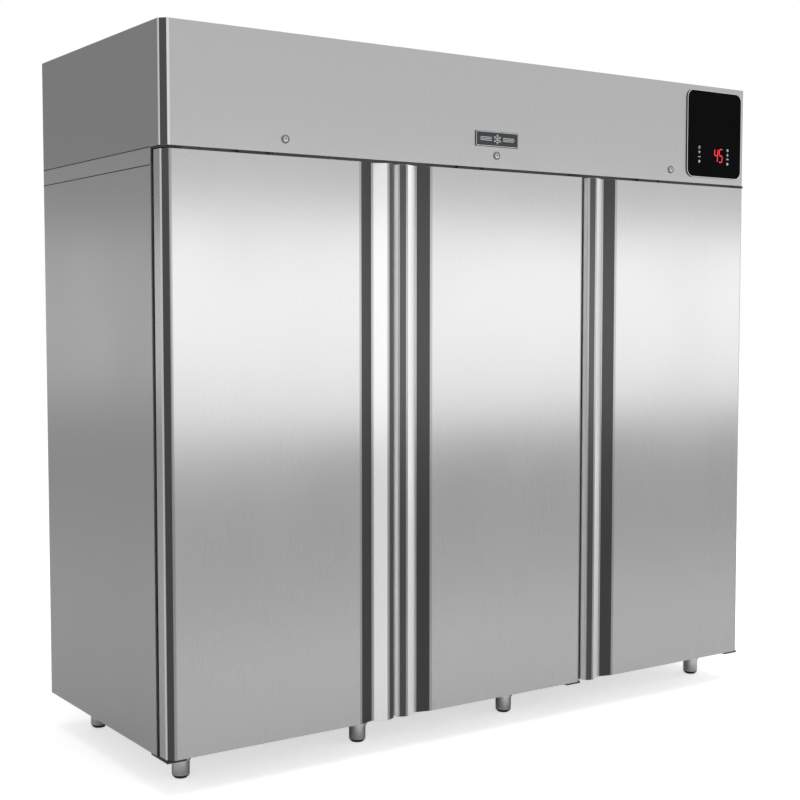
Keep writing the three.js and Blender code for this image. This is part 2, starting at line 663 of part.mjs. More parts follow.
// Shroud with its fan motor on a bridge, and the fan in the shroud's mouth.
function buildCondenserFan(coilTop) {
  const back = COND.y1 + SHROUD.deep;
  const x = (COND.x0 + COND.x1) / 2;
  const z = DECK_Z + COND_FAN.lift;
  const { wall } = SHROUD;
  const outer = slab([COND.x0, COND.y1 + GAP, DECK_Z], [COND.x1, back, coilTop]);
  const hollow = slab(
    [COND.x0 + wall, COND.y1 - 1, DECK_Z + wall],
    [COND.x1 - wall, back - wall, coilTop - wall],
  );
  const mouth = rodAlongY(x, z, back - wall - 1, back + 1, SHROUD.mouth, 32);
  const motor = rodAlongY(x, z, back + MOTOR.start, back + MOTOR.end, MOTOR.radius, 20);
  const { reach, bar, half, start, end } = BRIDGE;
  const arms = [x - reach, x + reach - bar].map((low) =>
    slab([low, back - 1, z - half], [low + bar, back + end, z + half]),
  );
  const bridge = slab([x - reach, back + start, z - half], [x + reach, back + end, z + half]);
  const hollowShroud = combine(outer, { cut: [hollow, mouth] });
  put('condenser_shroud', combine(hollowShroud, { add: [motor, bridge, ...arms] }), BLACK_PAINT);

  const fan = fanGeometry(COND_FAN).rotateX(Math.PI / 2);
  put('condenser_fan', fan, ALUMINIUM).position.set(x, back - COND_FAN.forward, z);
}

function buildCompressor() {
  const { radius, height } = COMPRESSOR;
  const dome = [
    [0, 12],
    [radius - 14, 12],
    [radius, 26],
    [radius, height * 0.48],
    [radius + 5, height * 0.48], // weld seam
    [radius + 5, height * 0.53],
    [radius, height * 0.53],
    [radius, height * 0.74],
    [radius * 0.86, height * 0.9],
    [radius * 0.55, height * 0.98],
    [0, height],
  ].map(([r, z]) => new THREE.Vector2(r, z));
  const can = new THREE.LatheGeometry(dome, 28).rotateX(Math.PI / 2);
  const plate = slab([-PLATE.halfX, -PLATE.halfY, 0], [PLATE.halfX, PLATE.halfY, PLATE.thick]);
  const compressor = put('compressor', combine(plate, { add: [can] }), BLACK_PAINT);
  compressor.position.set(COMPRESSOR.x, COMPRESSOR.y, DECK_Z);
}

function buildElectricalBox() {
  const { x0, x1, y0, y1, height } = ELECTRICAL;
  const top = DECK_Z + height;
  const box = slab([x0, y0, DECK_Z], [x1, y1, top]);
  const hollow = slab([x0 + SHEET, y0 + SHEET, DECK_Z - 1], [x1 - SHEET, y1 - SHEET, top - SHEET]);
  const inletZ = DECK_Z + height / 2;
  const inlet = rodAlongY(x0 + INLET.inset, inletZ, y1 - SHEET, y1 + INLET.proud, INLET.radius, 16);
  put('electrical_box', combine(box, { cut: [hollow], add: [inlet] }), GALVANISED);
}

// ---------------------------------------------------------------- assembly
buildBody();
buildLegs();
buildHeader();
buildPanels();
buildLocks();
DOORS.forEach(buildDoor);
DOORS.forEach(buildHinges);
buildRacks();
buildShelves();
buildEvaporator();
buildCondensingUnit();

export default product;
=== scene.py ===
import json
import math

import bmesh
import bpy
from mathutils import Matrix, Vector

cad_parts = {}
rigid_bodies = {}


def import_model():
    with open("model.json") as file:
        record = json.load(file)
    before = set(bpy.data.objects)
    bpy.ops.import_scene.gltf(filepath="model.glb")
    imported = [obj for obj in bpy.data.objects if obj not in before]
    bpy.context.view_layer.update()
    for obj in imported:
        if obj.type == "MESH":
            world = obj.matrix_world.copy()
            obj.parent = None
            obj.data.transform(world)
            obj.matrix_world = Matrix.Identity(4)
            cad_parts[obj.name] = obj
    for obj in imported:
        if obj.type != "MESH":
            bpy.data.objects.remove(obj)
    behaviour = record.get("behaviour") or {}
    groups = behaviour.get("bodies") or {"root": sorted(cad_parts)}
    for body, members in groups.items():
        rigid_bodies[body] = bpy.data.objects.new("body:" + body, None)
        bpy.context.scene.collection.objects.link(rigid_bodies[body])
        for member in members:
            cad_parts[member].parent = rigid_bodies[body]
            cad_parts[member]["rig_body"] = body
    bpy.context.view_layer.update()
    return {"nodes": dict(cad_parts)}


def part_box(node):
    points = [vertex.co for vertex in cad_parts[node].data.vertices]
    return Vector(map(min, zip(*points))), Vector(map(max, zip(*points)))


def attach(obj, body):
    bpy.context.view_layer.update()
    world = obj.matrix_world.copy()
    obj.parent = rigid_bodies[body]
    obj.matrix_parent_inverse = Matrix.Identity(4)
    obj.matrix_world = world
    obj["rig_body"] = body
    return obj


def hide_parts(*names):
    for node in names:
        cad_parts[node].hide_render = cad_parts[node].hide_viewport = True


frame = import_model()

MM = 0.001

# ---------------------------------------------------------------- main sizes, mm, as in the CAD
WIDTH = 2150
FACE_Y = -411
DOOR_BACK_Y = -353
DOOR_Z = (102, 1682)
DOOR_W = 710.67
DOOR_LEFT = (-1072, -355.33, 361.33)
HANDLE_RIGHT = (True, False, False)
HEADER_Z = (1690.3, 2008)
SWITCH_OFFSET = 100
LOCK_X = (-716.67, 0, 716.67)
HANDLE_BANDS = ((5, 4), (29, 3), (71, 1), (117.5, 2))  # distance from the handle edge, and the band's material; the bands alternate painted highlight and painted shade

# ---------------------------------------------------------------- materials


class Shader:
    """One material and the nodes that drive it."""

    def __init__(self, name):
        self.material = bpy.data.materials.new(name)
        self.material.use_nodes = True
        self.tree = self.material.node_tree
        self.bsdf = self.tree.nodes["Principled BSDF"]
        self.coords = self.node("ShaderNodeTexCoord").outputs["Object"]

    def node(self, kind, **settings):
        made = self.tree.nodes.new(kind)
        for key, value in settings.items():
            setattr(made, key, value)
        return made

    def join(self, source, target):
        self.tree.links.new(source, target)

    def noise(self, stretch, detail=3.0, roughness=0.6):
        """Noise in object space, stretch being cycles per metre on each axis."""
        scale = self.node("ShaderNodeVectorMath", operation="MULTIPLY")
        scale.inputs[1].default_value = stretch
        self.join(self.coords, scale.inputs[0])
        tex = self.node("ShaderNodeTexNoise")
        tex.inputs["Scale"].default_value = 1.0
        tex.inputs["Detail"].default_value = detail
        tex.inputs["Roughness"].default_value = roughness
        self.join(scale.outputs[0], tex.inputs["Vector"])
        return tex.outputs["Fac"]

    def spread(self, source, low, high, start=0.3, end=0.7):
        ranged = self.node("ShaderNodeMapRange")
        ranged.inputs["From Min"].default_value = start
        ranged.inputs["From Max"].default_value = end
        ranged.inputs["To Min"].default_value = low
        ranged.inputs["To Max"].default_value = high
        self.join(source, ranged.inputs["Value"])
        return ranged.outputs["Result"]

    def maths(self, operation, a, b):
        made = self.node("ShaderNodeMath", operation=operation)
        for socket, value in zip(made.inputs, (a, b)):
            if isinstance(value, (int, float)):
                socket.default_value = value
            else:
                self.join(value, socket)
        return made.outputs[0]

    def mix(self, factor, first, second):
        made = self.node("ShaderNodeMix", data_type="RGBA")
        self.join(factor, made.inputs["Factor"])
        for socket, value in ((made.inputs["A"], first), (made.inputs["B"], second)):
            if isinstance(value, tuple):
                socket.default_value = (*value, 1.0)
            else:
                self.join(value, socket)
        return made.outputs["Result"]

    def edge(self, radius):
        """1 where the surface turns sharply within radius, 0 on flats."""
        bevel = self.node("ShaderNodeBevel", samples=4)
        bevel.inputs["Radius"].default_value = radius
        normal = self.node("ShaderNodeNewGeometry").outputs["Normal"]
        dot = self.node("ShaderNodeVectorMath", operation="DOT_PRODUCT")
        self.join(bevel.outputs["Normal"], dot.inputs[0])
        self.join(normal, dot.inputs[1])
        return self.spread(dot.outputs["Value"], 1.0, 0.0, 0.90, 0.995)

    def sideways(self):
        """1 where the surface faces along x in the object's own frame, 0 elsewhere."""
        normal = self.node("ShaderNodeTexCoord").outputs["Normal"]
        axes = self.node("ShaderNodeSeparateXYZ")
        self.join(normal, axes.inputs[0])
        return self.spread(self.maths("ABSOLUTE", axes.outputs["X"], 0.0), 0.0, 1.0, 0.72, 0.86)

    def bump(self, height, distance, strength=0.35):
        made = self.node("ShaderNodeBump")
        made.inputs["Strength"].default_value = strength
        made.inputs["Distance"].default_value = distance
        self.join(height, made.inputs["Height"])
        self.join(made.outputs["Normal"], self.bsdf.inputs["Normal"])

    def value(self, **sockets):
        for name, number in sockets.items():
            self.bsdf.inputs[name.replace("_", " ")].default_value = number


def shade(colour, factor):
    return tuple(min(1.0, max(0.0, c * factor)) for c in colour)


def metal(name, colour, rough, along="z", grain=900, spread=0.05, aniso=0.55, edge=0.0015, metallic=1.0,
          uneven=0.04, scratch=0.22, side_highlight_colour=None):
    """Grained metal sheet: fine scratches along one axis, slow tone drift, brighter worn edges."""
    s = Shader(name)
    slow, fast = 2.5, float(grain)
    stretch = {"x": (slow, fast, fast), "y": (fast, slow, fast), "z": (fast, fast, slow)}[along]
    fine = s.noise(stretch, 4.0, 0.7)
    broad = s.noise(tuple(v * 0.22 for v in stretch), 3.0)
    cloud = s.noise((2.2, 2.2, 1.4), 2.0)
    tone = s.mix(s.spread(fine, 0.0, 1.0), shade(colour, 1 - spread), shade(colour, 1 + spread))
    drift = s.mix(s.spread(broad, 0.0, 0.5), tone, shade(colour, 1 - spread * 0.7))
    worn = s.maths("MULTIPLY", s.edge(edge), s.spread(cloud, 0.35, 0.85))
    tinted = s.mix(worn, drift, shade(colour, 1.25))
    # painted highlight: faces turned along x take the given side colour, a brighter colour, in place of the
    # grained tone
    if side_highlight_colour:
        tinted = s.mix(s.sideways(), tinted, side_highlight_colour)
    s.join(tinted, s.bsdf.inputs["Base Color"])
    base = s.spread(fine, rough - uneven, rough + uneven)
    wiped = s.maths("ADD", base, s.spread(cloud, -0.02, 0.03))
    s.join(s.maths("SUBTRACT", wiped, s.maths("MULTIPLY", worn, 0.08)), s.bsdf.inputs["Roughness"])
    s.value(Metallic=metallic, Anisotropic=aniso)
    tangent = s.node("ShaderNodeTangent", direction_type="RADIAL", axis="Z")
    s.join(tangent.outputs[0], s.bsdf.inputs["Tangent"])
    s.bump(fine, 0.00012, scratch)
    return s.material


def coated(name, colour, rough, metallic=0.0, grain=420, depth=0.00015, coat=0.0, edge=0.001,
           specular=0.5):
    """Paint, plastic or rubber: fine texture, slight tone drift and rubbed edges."""
    s = Shader(name)
    fine = s.noise((grain,) * 3, 4.0, 0.65)
    cloud = s.noise((6.0, 6.0, 6.0), 3.0)
    tone = s.mix(s.spread(cloud, 0.0, 1.0), shade(colour, 0.88), shade(colour, 1.10))
    lifted = tuple(min(1.0, c * 1.5 + 0.03) for c in colour)
    worn = s.maths("MULTIPLY", s.edge(edge), s.spread(fine, 0.2, 0.7))
    s.join(s.mix(worn, tone, lifted), s.bsdf.inputs["Base Color"])
    s.join(s.spread(fine, rough - 0.05, rough + 0.07), s.bsdf.inputs["Roughness"])
    s.value(Metallic=metallic, Coat_Weight=coat, Coat_Roughness=0.06, Specular_IOR_Level=specular)
    s.bump(fine, depth, 0.3)
    return s.material


def glowing(name, colour, strength):
    s = Shader(name)
    cell = s.noise((2600.0,) * 3, 2.0)
    s.join(s.mix(s.spread(cell, 0.0, 1.0), shade(colour, 0.85), colour), s.bsdf.inputs["Base Color"])
    s.value(Roughness=0.35, Emission_Color=(*colour, 1.0), Emission_Strength=strength)
    return s.material


# the second, near-white steel colour is painted highlight for the door handle and the door bends
STEEL, PAINTED_HIGHLIGHT_STEEL = (0.60, 0.60, 0.605), (0.93, 0.93, 0.94)
SATIN = {"spread": 0.012, "uneven": 0.012, "scratch": 0.06}
SIDE_SATIN = {"spread": 0.014, "uneven": 0.014, "scratch": 0.06}
POLISHED = {"spread": 0.01, "uneven": 0.01, "scratch": 0.05}
PLATED = {"grain": 1500, "spread": 0.03, "aniso": 0.0, "edge": 0.0005}
M = {
    "stainless": metal("stainless_satin", STEEL, 0.27, **SATIN),
    "side": metal("stainless_side", (0.56, 0.56, 0.57), 0.33, **SIDE_SATIN),
    # painted shade: a darker copy of the side steel for the header's sides
    "side_top_painted_shade": metal("stainless_side_header_painted_shade", (0.47, 0.47, 0.475), 0.33, **SIDE_SATIN),
    "foot_steel": metal("foot_tube_steel", (0.78, 0.78, 0.785), 0.22, grain=700, spread=0.08, aniso=0.6),
    # painted highlight: the handle's crest gets near-white, partly diffuse steel so that it reads bright
    # under any light
    "ridge_painted_highlight": metal("stainless_ridge_painted_highlight", PAINTED_HIGHLIGHT_STEEL, 0.24, spread=0.01, uneven=0.01,
                   scratch=0.03, metallic=0.35),
    # painted shade: near-black steel for the handle groove and the screw slots, standing in for the shade
    # that falls in them
    "recess_painted_shade": metal("stainless_recess_painted_shade", (0.075, 0.075, 0.074), 0.38, spread=0.08, uneven=0.02,
                    scratch=0.06),
    # painted shade: near-black steel for the handle's inner wall and the dark bevels of the doors and header
    "flank_painted_shade": metal("stainless_flank_painted_shade", (0.10, 0.10, 0.105), 0.34, spread=0.05, uneven=0.02,
                   scratch=0.06),
    # painted highlight: brighter steel on the rounded bends of the header
    "fold": metal("stainless_fold_painted_highlight", (0.88, 0.88, 0.89), 0.20, **POLISHED),
    # painted shade and painted highlight: darker steel on the door's rounded bends, near-white where a bend
    # faces sideways
    "door_fold_painted_shade_and_highlight": metal("stainless_fold_painted_shade_and_highlight", (0.42, 0.42, 0.425), 0.30, side_highlight_colour=PAINTED_HIGHLIGHT_STEEL,
                       **POLISHED),
    # painted highlight: near-white, mostly diffuse steel for the narrow strip at the door's handle edge
    "shoulder_painted_highlight": metal("stainless_shoulder_painted_highlight", PAINTED_HIGHLIGHT_STEEL, 0.35, metallic=0.25, **POLISHED),
    "inner": metal("stainless_inner_sheet", (0.58, 0.585, 0.59), 0.30, along="x", grain=600, spread=0.015,
                   uneven=0.015, scratch=0.07),
    "galvanised": metal("galvanised_sheet", (0.50, 0.515, 0.53), 0.42, grain=160, spread=0.10, aniso=0.1),
    "wire": metal("shelf_wire_steel", (0.66, 0.66, 0.67), 0.24, grain=1200, spread=0.06, aniso=0.0),
    "chrome": metal("lock_chrome", (0.58, 0.58, 0.59), 0.20, **PLATED),
    "collar": metal("lock_collar_dark", (0.20, 0.20, 0.205), 0.25, **PLATED),
    "aluminium": metal("aluminium_fin", (0.72, 0.73, 0.74), 0.35, along="x", grain=700, aniso=0.1),
    "copper": metal("copper_tube", (0.72, 0.36, 0.20), 0.30, grain=500, spread=0.14, aniso=0.0),
    "foot": coated("foot_black_plastic", (0.022, 0.022, 0.024), 0.42),
    "gasket": coated("gasket_dark_rubber", (0.012, 0.012, 0.013), 0.58, grain=700, depth=0.0002),
    "seal": coated("seal_grey_rubber", (0.10, 0.10, 0.105), 0.60, grain=700, depth=0.0002),
    "foam": coated("foam_core_cream", (0.72, 0.62, 0.40), 0.85, grain=260, depth=0.0006),
    "black_gloss": coated("panel_black_gloss", (0.003, 0.003, 0.0035), 0.08, grain=900, depth=0.00002,
                          specular=0.02),
    "black_plastic": coated("black_plastic", (0.02, 0.02, 0.021), 0.40),
    "black_paint": coated("compressor_black_enamel", (0.016, 0.016, 0.017), 0.30, coat=0.3),
    "badge": metal("badge_grey_plate", (0.070, 0.080, 0.083), 0.32, along="x", spread=0.10, aniso=0.3),
    "rim": metal("rim_bright", (0.80, 0.80, 0.81), 0.20, spread=0.03, aniso=0.0, edge=0.0005),
    "icon": coated("icon_pale_print", (0.42, 0.43, 0.44), 0.35, grain=900, depth=0.00002),
    "digit": glowing("digit_red_glow", (0.80, 0.02, 0.035), 0.75),
    "insulation": coated("pipe_insulation_black", (0.03, 0.03, 0.03), 0.85, grain=300, depth=0.0005),
}

# ---------------------------------------------------------------- mesh helpers


def finish_piece(obj, body, replaced=()):
    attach(obj, body)
    if replaced:
        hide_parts(*replaced)
    return obj


def soft_edges(obj, width, segments=3, angle=25):
    bevel = obj.modifiers.new("edge_round", "BEVEL")
    bevel.width = width * MM
    bevel.segments = segments
    bevel.limit_method = "ANGLE"
    bevel.angle_limit = math.radians(angle)
    bevel.harden_normals = True
    return bevel


def new_object(name, mesh, materials):
    obj = bpy.data.objects.new(name, mesh)
    bpy.context.scene.collection.objects.link(obj)
    for key in materials:
        mesh.materials.append(M[key])
    return obj


def piece(name, build, looks, body, replaced=(), edge=0.0, segments=3, smooth=30):
    """A named piece whose mesh build(bm) makes, in millimetres, in the CAD frame."""
    bm = bmesh.new()
    build(bm)
    bmesh.ops.scale(bm, vec=(MM,) * 3, verts=bm.verts)
    bmesh.ops.recalc_face_normals(bm, faces=bm.faces)
    mesh = bpy.data.meshes.new(name)
    bm.to_mesh(mesh)
    bm.free()
    looks = (looks,) if isinstance(looks, str) else looks
    obj = new_object(name, mesh, looks)
    mesh.polygons.foreach_set("use_smooth", [True] * len(mesh.polygons))
    mesh.set_sharp_from_angle(angle=math.radians(smooth))
    if edge:
        soft_edges(obj, edge, segments)
    return finish_piece(obj, body, replaced)


BOX_FACES = ((0, 1, 3, 2), (4, 6, 7, 5), (0, 4, 5, 1), (2, 3, 7, 6), (0, 2, 6, 4), (1, 5, 7, 3))


def add_box(bm, lo, hi, look=0, place=Matrix.Identity(4)):
    corners = [(x, y, z) for x in (lo[0], hi[0]) for y in (lo[1], hi[1]) for z in (lo[2], hi[2])]
    v = [bm.verts.new(place @ Vector(c)) for c in corners]
    for face in BOX_FACES:
        bm.faces.new([v[i] for i in face]).material_index = look


def add_prism(bm, outline, low, high, axis="z", look=0):
    """A closed prism of an outline (u, v), from low to high along an axis."""
    def at(u, v, w):
        return {"z": (u, v, w), "y": (u, w, v), "x": (w, u, v)}[axis]
    rings = [[bm.verts.new(at(u, v, w)) for u, v in outline] for w in (low, high)]
    n = len(outline)
    faces = [bm.faces.new(rings[0]), bm.faces.new(rings[1])]
    faces += [bm.faces.new((rings[0][i], rings[0][(i + 1) % n], rings[1][(i + 1) % n], rings[1][i]))
              for i in range(n)]
    for face in faces:
        face.material_index = look


def add_lathe(bm, profile, place, sides=32, look=0):
    """Turns (radius, height) pairs round an axis; place is the matrix from +Z at the origin."""
    rings = []
    for r, h in profile:
        if r <= 1e-6:
            rings.append([bm.verts.new(place @ Vector((0, 0, h)))])
        else:
            rings.append([bm.verts.new(place @ Vector((r * math.cos(a), r * math.sin(a), h)))
                          for a in (2 * math.pi * i / sides for i in range(sides))])
    for low, high in zip(rings, rings[1:]):
        for i in range(sides):
            j = (i + 1) % sides
            loop = [low[i % len(low)], low[j % len(low)], high[j % len(high)], high[i % len(high)]]
            loop = list(dict.fromkeys(loop))
            if len(loop) > 2:
                bm.faces.new(loop).material_index = look
    for ring, flip in ((rings[0], True), (rings[-1], False)):
        if len(ring) > 1:
            bm.faces.new(ring[::-1] if flip else ring).material_index = look


def add_tube(bm, path, radius, sides=8, look=0, closed=False):
    """A round bar or pipe along a path of points."""
    points = [Vector(p) for p in path]
    n = len(points)
    rings = []
    side = None
    for i, p in enumerate(points):
        before = points[i - 1] if (i or closed) else p
        after = points[(i + 1) % n] if (i < n - 1 or closed) else p
        ahead = (after - before).normalized()
        if side is None:
            side = ahead.orthogonal().normalized()
        side = (side - ahead * side.dot(ahead)).normalized()
        up = ahead.cross(side)
        rings.append([bm.verts.new(p + side * radius * math.cos(a) + up * radius * math.sin(a))
                      for a in (2 * math.pi * k / sides for k in range(sides))])
    pairs = list(zip(rings, rings[1:])) + ([(rings[-1], rings[0])] if closed else [])
    for a, b in pairs:
        for k in range(sides):
            m = (k + 1) % sides
            bm.faces.new((a[k], a[m], b[m], b[k])).material_index = look
    if not closed:
        bm.faces.new(rings[0][::-1]).material_index = look
        bm.faces.new(rings[-1]).material_index = look


def rounded_path(points, radius, steps=6):
    """The path with each inner corner turned into an arc-like bend."""
    points = [Vector(p) for p in points]
    out = [points[0]]
    for a, b, c in zip(points, points[1:], points[2:]):
        r = min(radius, (a - b).length * 0.49, (c - b).length * 0.49)
        start, end = b + (a - b).normalized() * r, b + (c - b).normalized() * r
        for k in range(steps + 1):
            t = k / steps
            out.append(start * (1 - t) ** 2 + b * 2 * t * (1 - t) + end * t * t)
    out.append(points[-1])
    return out


def rounded_outline(x0, x1, z0, z1, r, steps=8):
    out = []
    for cx, cz, turn in ((x1 - r, z1 - r, 0), (x0 + r, z1 - r, 1), (x0 + r, z0 + r, 2), (x1 - r, z0 + r, 3)):
        for k in range(steps + 1):
            a = math.pi / 2 * (turn + k / steps)
            out.append((cx + r * math.cos(a), cz + r * math.sin(a)))
    return out


def facing(origin, direction):
    """The matrix that takes +Z at the origin to a direction at a place."""
    turn = Vector(direction).to_track_quat("Z", "Y").to_matrix().to_4x4()
    return Matrix.Translation(Vector(origin)) @ turn


def mm_box(node):
    lo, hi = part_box(node)
    return lo / MM, hi / MM


LONG_BEND = 60  # mm: a shorter edge is an end, not a fold
BEND_ANGLE, SHARP_ANGLE = math.radians(8), math.radians(80)
WELD = 2e-5


def refined(node, looks, bend=0.0, edge=0.4, pick=None, fold_look=-1, cuts=()):
    """A copy of a CAD node with its folds rounded; pick(centre, normal) gives each face's material.

    cuts are the x positions where a pierced sheet is divided, so that each hole keeps its own panel.
    """
    source = frame["nodes"][node]
    body = source["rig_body"]
    raw = source.data
    bm = bmesh.new()
    verts = [bm.verts.new(v.co) for v in raw.vertices]
    for polygon in raw.polygons:
        try:
            bm.faces.new([verts[i] for i in polygon.vertices])
        except ValueError:
            continue
    bmesh.ops.remove_doubles(bm, verts=bm.verts, dist=WELD)
    bmesh.ops.dissolve_degenerate(bm, dist=WELD, edges=bm.edges)
    for x in cuts:
        parts = bm.verts[:] + bm.edges[:] + bm.faces[:]
        cut = bmesh.ops.bisect_plane(bm, geom=parts, plane_co=(x * MM, 0, 0), plane_no=(1, 0, 0))
        for e in cut["geom_cut"]:
            if isinstance(e, bmesh.types.BMEdge):
                e.seam = True
    bmesh.ops.dissolve_limit(bm, angle_limit=math.radians(0.8), verts=bm.verts, edges=bm.edges,
                             delimit={"SEAM"})
    weights = bm.edges.layers.float.new("bevel_weight_edge")
    widest = max(bend, edge)
    for e in bm.edges:
        if len(e.link_faces) != 2:
            continue
        turn = e.calc_face_angle(0.0)
        if turn < BEND_ANGLE:
            continue
        folded = bend and turn < SHARP_ANGLE and e.calc_length() > LONG_BEND * MM
        e[weights] = (bend if folded else edge) / widest
    looks = (looks,) if isinstance(looks, str) else looks
    if pick:
        for f in bm.faces:
            f.material_index = pick(f.calc_center_median() / MM, f.normal)
    mesh = bpy.data.meshes.new(node + "_formed")
    bm.to_mesh(mesh)
    bm.free()
    obj = new_object(node + "_formed", mesh, looks)
    mesh.polygons.foreach_set("use_smooth", [True] * len(mesh.polygons))
    bevel = obj.modifiers.new("fold_round", "BEVEL")
    bevel.width = widest * MM
    bevel.segments = 4
    bevel.material = fold_look
    bevel.limit_method = "WEIGHT"
    bevel.harden_normals = True
    bevel.use_clamp_overlap = False
    return finish_piece(obj, body, [node])


def paint(node, look):
    """Gives a carried-over CAD node its material."""
    mesh = frame["nodes"][node].data
    mesh.materials.clear()
    mesh.materials.append(M[look])


# ---------------------------------------------------------------- camera and light


CAMERA_AT = (-2.6196, -3.7161, 1.2697)
CAMERA_YAW, CAMERA_PITCH = 0.6025, -0.0628
CAMERA_LENS = 63.62


def place_camera():
    data = bpy.data.cameras.new("photo_camera")
    data.sensor_width = 36
    data.lens = CAMERA_LENS
    data.clip_end = 60
    camera = bpy.data.objects.new("photo_camera", data)
    bpy.context.scene.collection.objects.link(camera)
    level = math.cos(CAMERA_PITCH)
    ahead = Vector((math.sin(CAMERA_YAW) * level, math.cos(CAMERA_YAW) * level, math.sin(CAMERA_PITCH)))
    camera.rotation_mode = "QUATERNION"
    camera.rotation_quaternion = ahead.to_track_quat("-Z", "Y")
    camera.location = CAMERA_AT
    bpy.context.scene.camera = camera


def area_light(name, location, target, size, power, colour=(1, 1, 1)):
    data = bpy.data.lights.new(name, "AREA")
    data.shape = "RECTANGLE"
    data.size, data.size_y = size
    data.energy = power
    data.color = colour
    light = bpy.data.objects.new(name, data)
    bpy.context.scene.collection.objects.link(light)
    light.location = location
    light.rotation_mode = "QUATERNION"
    light.rotation_quaternion = (Vector(target) - Vector(location)).to_track_quat("-Z", "Y")
    light.visible_camera = False
    return light


def surround():
    """White to the camera; in reflections, grey behind the cabinet and pale before it."""
    world = bpy.data.worlds.new("studio")
    bpy.context.scene.world = world
    world.use_nodes = True
    tree = world.node_tree
    nodes, links = tree.nodes, tree.links
    background = nodes["Background"]
    direction = nodes.new("ShaderNodeTexCoord").outputs["Generated"]
    axes = nodes.new("ShaderNodeSeparateXYZ")
    links.new(direction, axes.inputs[0])
    across = nodes.new("ShaderNodeMapRange")
    across.interpolation_type = "SMOOTHSTEP"
    for key, number in (("From Min", 0.95), ("From Max", -0.40), ("To Min", 0.36), ("To Max", 0.74)):
        across.inputs[key].default_value = number
    links.new(axes.outputs["Y"], across.inputs["Value"])
    seen = nodes.new("ShaderNodeLightPath").outputs["Is Camera Ray"]
    level = nodes.new("ShaderNodeMix")
    level.data_type = "FLOAT"
    level.inputs["B"].default_value = 1.0
    links.new(seen, level.inputs["Factor"])
    links.new(across.outputs["Result"], level.inputs["A"])
    background.inputs["Color"].default_value = (1.0, 1.0, 1.0, 1.0)
    links.new(level.outputs["Result"], background.inputs["Strength"])


def lights():
    """One long softbox before the doors, strips at both sides and an overhead fill."""
    area_light("front_strip", (1.6, -2.3, 1.21), (1.6, 0, 1.21), (7.0, 0.95), 18)
    area_light("left_strip", (-3.0, 4.7, 1.25), (0, 4.7, 1.25), (4.6, 1.0), 7)
    area_light("right_strip", (5.5, -0.7, 1.1), (0, -0.41, 1.1), (2.4, 3.2), 26)
    area_light("overhead", (0.2, -0.6, 4.6), (0.2, 0, 0), (4.5, 3.5), 90)


def studio_floor():
    """A pale floor, white to the camera and greyer in reflections."""
    bm = bmesh.new()
    bmesh.ops.create_grid(bm, x_segments=1, y_segments=1, size=30)
    mesh = bpy.data.meshes.new("studio_floor")
    bm.to_mesh(mesh)
    bm.free()
    floor = bpy.data.objects.new("studio_floor", mesh)
    bpy.context.scene.collection.objects.link(floor)
    s = Shader("floor_pale")
    seen = s.node("ShaderNodeLightPath").outputs["Is Camera Ray"]
    s.join(s.mix(seen, (0.64, 0.64, 0.64), (0.75, 0.75, 0.75)), s.bsdf.inputs["Base Color"])
    s.join(s.maths("MULTIPLY", seen, 0.60), s.bsdf.inputs["Emission Strength"])
    s.value(Roughness=0.7, Emission_Color=(1.0, 1.0, 1.0, 1.0))
    mesh.materials.append(s.material)


place_camera()
surround()
lights()
studio_floor()
bpy.context.scene.view_settings.view_transform = "Standard"

# ---------------------------------------------------------------- doors


# door skin materials: plain steel, then painted highlight and painted shade for the handle bands and bends
DOOR_LOOKS = ("stainless", "ridge_painted_highlight", "recess_painted_shade", "flank_painted_shade", "shoulder_painted_highlight", "door_fold_painted_shade_and_highlight")
DOOR_BEVEL = 18.5


def door_look(index):
    """Which material each face of a door skin gets: plain steel, or a band of the handle, the bright ones
    painted highlight and the dark ones painted shade.
    """
    left = DOOR_LEFT[index]
    right = left + DOOR_W

    def pick(centre, normal):
        s = right - centre.x if HANDLE_RIGHT[index] else centre.x - left
        if normal.y > -0.15 or centre.y > DOOR_BACK_Y - 20:
            return 0
        for limit, look in HANDLE_BANDS:
            if s < limit:
                return look
        return DOOR_LOOKS.index("flank_painted_shade") if s > DOOR_W - DOOR_BEVEL and abs(normal.x) > 0.4 else 0
    return pick


for i in range(3):
    refined(f"door_{i + 1}_skin", DOOR_LOOKS, bend=4.0, edge=0.35, pick=door_look(i),
            fold_look=DOOR_LOOKS.index("door_fold_painted_shade_and_highlight"))
    paint(f"door_{i + 1}_foam_core", "foam")
    refined(f"door_{i + 1}_inner_pan", "inner", bend=1.5, edge=0.3)

# ---------------------------------------------------------------- cabinet sheets


# header materials: front steel, painted shade on the sides and corner bevels, painted highlight on the bends
HEADER_LOOKS = ("stainless", "side_top_painted_shade", "flank_painted_shade", "fold")
LOCK_PANEL = 16  # half width of the sheet panel kept round each lock hole


def header_look(centre, normal):
    """Which material each header face gets: front steel, the darker side steel that is painted shade, or the
    near-black corner bevel that is painted shade.
    """
    if abs(normal.x) > 0.35 and normal.y < -0.35:
        return HEADER_LOOKS.index("flank_painted_shade")
    return HEADER_LOOKS.index("side_top_painted_shade") if abs(normal.x) > 0.9 else 0


